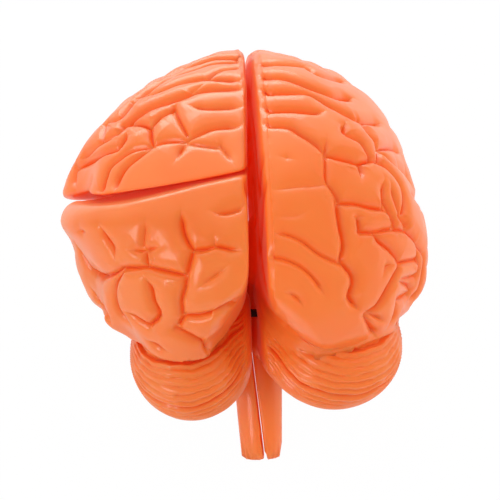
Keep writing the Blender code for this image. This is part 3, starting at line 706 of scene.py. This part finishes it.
def pressed(points, lines, uphill=(0, 0, 1), reach=13.0):
    """How deep the drawn folds are at each point, from 0 to 1, and the way to the nearest one.

    A gyrus is as wide as the space between two folds, so each point looks for the nearest fold and
    for the nearest one on its other side. Narrow gyri stay lower than wide ones, and a gyrus rises
    steeply below a fold and sinks gently towards the next one.
    """
    count = len(points)
    first, second, toward = np.full(count, reach), np.full(count, reach), np.zeros_like(points)
    pull, total = np.full(count, 1e-6), np.zeros(count)
    found = []
    for depth, line in lines:
        low, high = line.min(axis=0) - reach, line.max(axis=0) + reach
        near = np.nonzero(((points > low) & (points < high)).all(axis=1))[0]
        if len(near) == 0:
            continue
        d, foot, *ends = nearest_on(points[near], line)
        others = rest_of(lines, line)
        free = [len(others) == 0 or np.linalg.norm(others - line[n], axis=1).min() > JOINED for n in (0, -1)]
        to_end = np.min([np.where(is_free, end, 99) for is_free, end in zip(free, ends)], axis=0)
        way = (foot - points[near]) / (d[:, None] + 1e-9)
        found.append((near, d, way))
        weight = np.exp(-d / 1.2)
        pull[near] += weight
        total[near] += weight * depth * (0.15 + 0.85 * smooth_step(0, FADE, to_end))
        nearer = d < first[near]
        first[near[nearer]], toward[near[nearer]] = d[nearer], way[nearer]
    for near, d, way in found:
        facing = (way * toward[near]).sum(axis=1)
        apart = d + 14 * smooth_step(-0.3, 0.6, facing)
        second[near] = np.minimum(second[near], np.maximum(apart, first[near]))
    half = np.clip((first + second) / 2, 0.8, GYRUS)
    height = (half / GYRUS) ** 0.6 * crown(first / half, 2.3 + 1.2 * (toward @ np.array(uphill)))
    furrow = np.exp(-((first / NICK) ** 1.5))
    return total / pull * (FURROW * furrow + (1 - FURROW) * (1 - height)), toward * first[:, None]


def waves(points, normals, length):
    """Plane waves summed, and the distance to their zero lines along the surface."""
    wave, slope = np.zeros(len(points)), np.zeros_like(points)
    for n in range(14):
        turn, tip = 2.399963 * n, math.acos(1 - 2 * (n + 0.5) / 14)
        way = np.array([math.sin(tip) * math.cos(turn), math.sin(tip) * math.sin(turn), math.cos(tip)])
        k = 2 * math.pi / length * way
        phase = points @ k + 1.7 * n * n
        wave += np.cos(phase)
        slope -= np.sin(phase)[:, None] * k
    across = slope - (slope * normals).sum(axis=1, keepdims=True) * normals
    return wave, np.abs(wave) / (np.linalg.norm(across, axis=1) + 0.25)


FOLD_DEPTH, SWELL = 4.0, 0.5    # mm
FLASH, FLASH_HALF = 0.4, 0.42   # mm: height and half width of what squeezed out where the mould parted
NET_PULL = 0.55                 # how much of the net is drawn towards the eye
TO_FOLD, TO_SEAM = (0.7, 1.3), (0.6, 1.2)       # share of the way that the net is drawn in, and from how far


def lobe(name, solid_name, centre, lines, side, cuts, clear, seam=None):
    """One folded casting of the cerebrum; clear tells where it is free of its neighbours, and seam
    is how far from the middle its mould parted."""
    solid = SOLIDS[solid_name]
    towards = unit(eye()[0] * FLIP[side] - np.array(centre))
    obj, directions, quads = net(name, cuts, towards, NET_PULL)
    points = march(solid, centre, directions)
    normals = normals_of(points, quads)
    drawn = [(depth, met_by_eye(curved(line, 4.0), solid, side)) for depth, line in lines]
    fissure = unit([(60 - centre[0], y - centre[1], z - centre[2]) for y, z in FISSURE])
    drawn.append((1.0, march(solid, centre, fissure)))
    half = "right" if side > 0 else "left"
    inner = [(0.55, np.array([(midline(y, half), y, z) for y, z in curved(curve, 4.0)])) for curve in MIDLINE]
    to_eye = unit(eye()[0] * FLIP[side] - points)
    seen = (normals * to_eye).sum(axis=1)
    inward = smooth_step(-0.75, -0.95, normals[:, 0])
    hidden = smooth_step(0.18, -0.05, seen) * (1 - inward)
    _, off = waves(points, normals, 21.0)
    # the net is drawn together along the folds, so that their bottoms are sharp
    uphill = eye()[3] * FLIP[side]
    _, way = pressed(points, drawn)
    near = np.linalg.norm(way, axis=1)
    free = clear(points) * (1 - inward)
    drawn_in = TO_FOLD[0] * np.exp(-((near / TO_FOLD[1]) ** 2)) * free * smooth_step(-0.3, 0.0, seen)
    points = points + way * drawn_in[:, None]
    if seam is not None:
        to_seam = seam - points[:, 0]
        points[:, 0] += TO_SEAM[0] * to_seam * np.exp(-((to_seam / TO_SEAM[1]) ** 2)) * (1 - inward)
    outside = 1 - (1 - pressed(points, drawn, uphill)[0]) * (1 - 0.8 * hidden * (1 - crown(off / GYRUS)))
    amount = outside * (1 - inward) + pressed(points, inner)[0] * inward
    if side < 0:
        # the cut's faces stay plain, and the folds run out beside it
        from_cut = np.abs(over_cut(points))
        amount = amount * (1 - smooth_step(3.4, 2.2, from_cut) * smooth_step(0.35, 0.2, seen))
        amount = amount * (1 - 0.8 * smooth_step(3.5, 1.0, from_cut))
    amount = amount * clear(points) * (1 - (1 - inward) * 0.7 * smooth_step(4.0, 1.0, points[:, 0]))
    swell, _ = waves(points, normals, 34.0)
    depth = FOLD_DEPTH * amount + SWELL * (0.5 + 0.16 * np.clip(swell, -3, 3)) * (1 - inward)
    if seam is not None:
        patchy = 0.65 + 0.35 * np.clip(waves(points, normals, 6.0)[0], -1, 1)
        ahead = smooth_step(72, 52, points[:, 1])
        ridge = np.exp(-(((points[:, 0] - seam) / FLASH_HALF) ** 2))
        depth = depth - FLASH * patchy * ahead * ridge * (1 - inward)
    return obj, points, normals, depth


print("folds are up to", FOLD_DEPTH, "mm deep")

# %% [markdown]
# The right half is one casting, so its cerebellum and brainstem grow out of the cerebrum with soft
# fillets. Near a joint each skin is lifted to the smooth union of the two solids.

# %% Fillets of the right casting
def fillet(points, normals, own, other, k):
    """How far each point rises to meet the smooth union of its own solid with the other."""
    gap = other(points)
    near = np.nonzero(np.abs(gap) < np.max(k))[0]
    rise = np.zeros(len(points))
    if len(near) == 0:
        return rise
    kk = k[near] if np.ndim(k) else k

    def in_union(middle):
        p = points[near] + normals[near] * middle[:, None]
        return smooth_min(own(p), other(p), kk) < 0

    low, _ = narrowed(np.zeros(len(near)), np.full(len(near), 4.0), in_union, 9)
    rise[near] = low * smooth_step(-1.2, 0.4, gap[near])
    return rise


def spread(points):
    """The fillets are wide near the midline and tight at the side."""
    return 2.0 + 6.0 * smooth_step(26, 8, points[:, 0])


both_below = lambda p: smooth_min(SOLIDS["right_cerebellum"](p), SOLIDS["right_stem"](p), 4)
off_below = lambda p: smooth_step(-1.0, 3.5, both_below(p))
obj, points, normals, depth = lobe(
    "right_cerebrum", "right_cerebrum", (27, -8, 8), FOLDS_RIGHT, 1, 126, off_below, seam=5.0)
rise = fillet(points, normals, SOLIDS["right_cerebrum"], both_below, spread(points))
depth = depth * smooth_step(1.0, 0.1, rise)
right_cerebrum = finish_skin(obj, points + normals * (rise - depth)[:, None], 1)
print("right cerebrum:", len(right_cerebrum.data.polygons), "faces")

# %% The two upper left castings
obj, points, normals, depth = lobe(
    "left_frontal_parietal_skin", "left_upper", (30, 8, 34), FOLDS_UPPER, -1, 116, lambda p: 1.0, seam=2.6)
left_upper = finish_skin(obj, points - normals * depth[:, None], -1)
nested = lambda p: np.minimum(cerebellum(p, "left"), stem(p * FLIP[-1]))
off_nested = lambda p: smooth_step(SEAT + 0.3, SEAT + 5.0, nested(p))
obj, points, normals, depth = lobe(
    "left_temporal_occipital_skin", "left_lower", (38, -30, 0), FOLDS_LOWER, -1, 120, off_nested)
left_lower_skin = finish_skin(obj, points - normals * depth[:, None], -1)
print("left pieces:", len(left_upper.data.polygons), "and", len(left_lower_skin.data.polygons), "faces")

# %% Brainstem halves
def bar(name, solid_name, centre):
    obj, directions, quads = net(name, 40, (0, -1, 0.4), 0.2)
    points = march(SOLIDS[solid_name], centre, directions)
    return obj, points, normals_of(points, quads)


obj, points, _ = bar("left_brainstem_skin", "left_stem", (6.0, -24, -40))
left_stem = finish_skin(obj, points, -1)
obj, points, normals = bar("right_stem", "right_stem", (5.5, -25, -42))
rise = fillet(points, normals, SOLIDS["right_stem"], SOLIDS["right_cerebellum"], 4.0)
right_stem = finish_skin(obj, points + normals * rise[:, None], 1)
print("stems:", len(left_stem.data.polygons), "faces each")

# %% [markdown]
# The cerebellum is cut into thin leaves. They run like the pages of a half-opened book: every leaf
# lies in a plane through one chord, from the side of the cerebellum to the middle. That is a rule,
# so Geometry Nodes make it: the angle round the chord is counted in leaves, noise makes the leaves
# wander and fade, and each point sinks by how near it is to the next groove.

# %% A node tree that cuts leaves
def leaf_tree():
    tree = bpy.data.node_groups.new("cut_leaves", "GeometryNodeTree")
    tree.interface.new_socket("Geometry", in_out="INPUT", socket_type="NodeSocketGeometry")
    for kind, names in (
        ("Vector", ("Chord start", "Chord along", "Chord back", "Chord down")),
        ("Float", ("Leaf angle", "Leaf depth", "Wander")),
        ("Material", ("Vinyl",)),
    ):
        for name in names:
            tree.interface.new_socket(name, in_out="INPUT", socket_type="NodeSocket" + kind)
    tree.interface.new_socket("Geometry", in_out="OUTPUT", socket_type="NodeSocketGeometry")
    ins = add_node(tree, "NodeGroupInput").outputs
    place = add_node(tree, "GeometryNodeInputPosition").outputs[0]
    arm = add_node(tree, "ShaderNodeVectorMath", {0: place, 1: ins["Chord start"]}, operation="SUBTRACT").outputs[0]

    def along(axis):
        return add_node(tree, "ShaderNodeVectorMath", {0: arm, 1: ins[axis]}, operation="DOT_PRODUCT").outputs["Value"]

    def maths(operation, a, b):
        return math_node(tree, operation, a, b)

    angle = maths("ARCTAN2", along("Chord down"), along("Chord back"))
    drift = maths("MULTIPLY", maths("SUBTRACT", noise(tree, place, 75.0, 2.0), 0.5), ins["Wander"])
    leaves = maths("ADD", maths("DIVIDE", angle, ins["Leaf angle"]), drift)
    # 0 in the groove, 1 on the leaf's edge, rounded
    rise = maths("PINGPONG", leaves, 0.5)
    ridge = maths("POWER", maths("MULTIPLY", rise, 2.0), 0.5)
    # every sixth groove or so is a fissure
    coarse = maths("PINGPONG", maths("DIVIDE", leaves, 6.0), 0.5)
    fissure = maths("POWER", maths("SUBTRACT", 1.0, maths("MINIMUM", maths("MULTIPLY", coarse, 7.0), 1.0)), 2.0)
    strength = map_range(tree, noise(tree, place, 130.0, 1.0), (0.38, 0.56), (0.4, 1.0))
    sink = maths("ADD", maths("MULTIPLY", maths("SUBTRACT", 1.0, ridge), strength), maths("MULTIPLY", fissure, 1.1))
    # no leaves where the casting lies flat against the middle
    mask = add_node(tree, "GeometryNodeInputNamedAttribute", {"Name": "leafy"}, data_type="FLOAT").outputs[0]
    deep = maths("MULTIPLY", maths("MULTIPLY", sink, ins["Leaf depth"]), maths("MULTIPLY", mask, -1.0))
    normal = add_node(tree, "GeometryNodeInputNormal").outputs[0]
    offset = add_node(tree, "ShaderNodeVectorMath", {0: normal, "Scale": deep}, operation="SCALE").outputs[0]
    moved = add_node(tree, "GeometryNodeSetPosition", {"Geometry": ins["Geometry"], "Offset": offset}).outputs[0]
    real = add_node(tree, "GeometryNodeRealizeInstances", {"Geometry": moved}).outputs[0]
    painted = add_node(tree, "GeometryNodeSetMaterial", {"Geometry": real, "Material": ins["Vinyl"]}).outputs[0]
    add_node(tree, "NodeGroupOutput", {"Geometry": painted})
    return tree


def run_tree(obj, tree, **values):
    """Runs a node tree on an object and keeps the result as its plain mesh."""
    modifier = obj.modifiers.new("nodes", "NODES")
    modifier.node_group = tree
    for item in tree.interface.items_tree:
        if item.in_out == "INPUT" and item.name.replace(" ", "_") in values:
            modifier[item.identifier] = values[item.name.replace(" ", "_")]
    bpy.context.view_layer.update()
    mesh = bpy.data.meshes.new_from_object(obj.evaluated_get(bpy.context.evaluated_depsgraph_get()))
    obj.modifiers.remove(modifier)
    obj.data = mesh


leaves = leaf_tree()
print("leaf tree has", len(leaves.nodes), "nodes")

# %% Both cerebella
LEAF_ANGLE, LEAF_DEPTH, LEAF_WANDER = 0.06, 0.0012, 1.3       # radians, metres, leaves
LEAF_CHORD = {"right": ((50, -30, -18), (6, -36, -12)), "left": ((45, -30, -22), (5, -36, -16))}


def little_brain(name, solid_name, centre, half, side, other=None):
    """A cerebellum with its leaves; other is the solid that it grows out of, if it does."""
    obj, directions, quads = net(name, 126, (-0.2, -1, 0.1), 0.5)
    solid = SOLIDS[solid_name]
    points = march(solid, centre, directions)
    normals = normals_of(points, quads)
    leafy = smooth_step(0.6, 3.0, points[:, 0] - midline(points[:, 1], half))
    if other is not None:
        rise = fillet(points, normals, solid, other, spread(points))
        points = points + normals * (rise - 0.15 * smooth_step(0, 0.4, rise))[:, None]
        leafy = leafy * smooth_step(0.8, 0.1, rise)
    finish_skin(obj, points, side)
    mask = obj.data.attributes.new("leafy", "FLOAT", "POINT")
    mask.data.foreach_set("value", leafy.astype(np.float32))
    a, b = (np.array(end, float) * FLIP[side] for end in LEAF_CHORD[half])
    chord = unit(b - a)
    back = unit(np.cross(chord, (0, 0, 1)))
    back = back if back[1] < 0 else -back
    down = np.cross(chord, back)
    down = down if down[2] < 0 else -down
    run_tree(obj, leaves, Chord_start=tuple(on_table(a)), Chord_along=tuple(LEAN @ chord),
             Chord_back=tuple(LEAN @ back), Chord_down=tuple(LEAN @ down), Leaf_angle=LEAF_ANGLE,
             Leaf_depth=LEAF_DEPTH, Wander=LEAF_WANDER, Vinyl=vinyl)
    return obj


over_cerebellum = lambda p: smooth_min(SOLIDS["right_cerebrum"](p), SOLIDS["right_stem"](p), 2)
right_cerebellum = little_brain("right_cerebellum", "right_cerebellum", (20, -47, -29), "right", 1, over_cerebellum)
left_cerebellum = little_brain("left_cerebellum_skin", "left_cerebellum", (18, -47, -32), "left", -1)
print("cerebella:", len(right_cerebellum.data.polygons), "faces each")

# %% [markdown]
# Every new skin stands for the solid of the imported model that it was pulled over, and rides on the
# same body, so it moves with its joint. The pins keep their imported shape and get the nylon.

# %% Hand the pieces to the model
SKINS = {
    "right_half": (("right_half",), (right_cerebrum, right_cerebellum, right_stem)),
    "left_frontal_parietal": (("left_frontal_parietal",), (left_upper,)),
    "left_temporal_occipital": (("left_temporal_occipital",), (left_lower_skin,)),
    "left_base": (("left_cerebellum",), (left_cerebellum,)),
}
for body, (nodes, skins) in SKINS.items():
    for skin in skins:
        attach(skin, body)
        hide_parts(*nodes)
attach(left_stem, "left_base")
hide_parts("left_brainstem")
skins = [skin for _, group in SKINS.values() for skin in group] + [left_stem]
for skin in skins:
    skin.data.materials.clear()
    skin.data.materials.append(vinyl)
for name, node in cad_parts.items():
    node.data.materials.clear()
    node.data.materials.append(nylon if name.endswith("_pin") or name.startswith("cut_pin") else vinyl)
triangles = sum(len(p.vertices) - 2 for skin in skins for p in skin.data.polygons)
print(len(skins), "skins,", triangles, "triangles")

# %% [markdown]
# A white table and a white surround, as in a light tent. Seen directly the surround is plain white.
# The light itself comes from all round, a little stronger from low down, where a table throws it
# back. The far side is the brightest part that the gloss shows, and four soft boxes shape the folds.

# %% Stage and light
SURROUND, FROM_BELOW = 0.575, 1.5       # brightness overhead, and how much brighter it is low down
SHEEN_FROM, SHEEN, GLOSS_FLOOR = (-0.15, 0.9, 0.3), 1.7, 0.45
TABLE_WHITE, TABLE_IN_GLOSS = 0.985, 0.5        # how far the table shows plain white to each kind of ray
SOFT_BOXES = [
    # where each stands, the point that it faces, width and height, watts, whether the gloss shows it
    ("box_far", (-0.1, 0.95, 0.32), (0, 0, 0.05), (0.9, 0.5), 5.6, True),
    ("box_above", (-0.1, -0.05, 0.95), (0, 0, 0.06), (0.5, 0.4), 1.5, False),
    ("box_right", (0.95, -0.05, 0.35), (0, 0, 0.06), (0.5, 0.6), 3.8, False),
    ("box_left", (-0.8, -0.5, 0.55), (0, 0, 0.06), (0.4, 0.5), 3.4, True),
]


def white_surround():
    world = bpy.data.worlds.new("light_tent")
    bpy.context.scene.world = world
    world.use_nodes = True
    tree = world.node_tree
    tree.nodes.clear()
    way = add_node(tree, "ShaderNodeTexCoord").outputs["Generated"]
    height = add_node(tree, "ShaderNodeSeparateXYZ", {0: way}).outputs["Z"]
    level = map_range(tree, height, (-0.2, 1.0), (SURROUND * FROM_BELOW, SURROUND))

    def white(strength):
        return add_node(tree, "ShaderNodeBackground", {"Color": (1, 1, 1, 1), "Strength": strength}).outputs[0]

    # the far side of the tent is its brightest part, and draws the sheen on every gyrus
    ways = {0: way, 1: tuple(unit(SHEEN_FROM))}
    facing = add_node(tree, "ShaderNodeVectorMath", ways, operation="DOT_PRODUCT").outputs["Value"]
    bright = map_range(tree, facing, (0.2, 0.95), (GLOSS_FLOOR, SHEEN), interpolation_type="SMOOTHSTEP")
    path = add_node(tree, "ShaderNodeLightPath").outputs
    for_gloss = mix_shader(tree, path["Is Glossy Ray"], white(level), white(bright))
    seen = math_node(tree, "MAXIMUM", path["Is Camera Ray"], path["Is Transmission Ray"])
    add_node(tree, "ShaderNodeOutputWorld", {"Surface": mix_shader(tree, seen, for_gloss, white(1.0))})


def soft_box(name, where, at, size, watts, in_gloss):
    data = bpy.data.lights.new(name, "AREA")
    data.shape, data.size, data.size_y, data.energy = "RECTANGLE", size[0], size[1], watts
    obj = bpy.data.objects.new(name, data)
    obj.location = where
    obj.rotation_euler = (Vector(at) - Vector(where)).to_track_quat("-Z", "Y").to_euler()
    obj.visible_glossy = in_gloss
    bpy.context.scene.collection.objects.link(obj)


white_surround()
for box in SOFT_BOXES:
    soft_box(*box)


def white_table():
    bpy.ops.mesh.primitive_plane_add(size=6.0, location=(0, 0, -0.0004))
    table = bpy.context.object
    table.name = "table"
    material, tree, paint = new_material("white_acrylic_sheet")
    fill_in(tree, paint, {"Base Color": (1, 1, 1, 1), "Roughness": 0.6})
    glow = add_node(tree, "ShaderNodeEmission", {"Color": (1, 1, 1, 1), "Strength": 1.0}).outputs[0]
    path = add_node(tree, "ShaderNodeLightPath").outputs
    seen = math_node(tree, "MAXIMUM", path["Is Camera Ray"], path["Is Glossy Ray"])
    seen = math_node(tree, "MAXIMUM", seen, path["Is Transmission Ray"])
    share = map_range(tree, path["Is Glossy Ray"], (0.0, 1.0), (TABLE_WHITE, TABLE_IN_GLOSS))
    shown = mix_shader(tree, math_node(tree, "MULTIPLY", seen, share), paint.outputs[0], glow)
    fill_in(tree, tree.nodes["Material Output"], {"Surface": shown})
    table.data.materials.append(material)


white_table()
bpy.context.scene.view_settings.view_transform = "Standard"
print("stage is set")
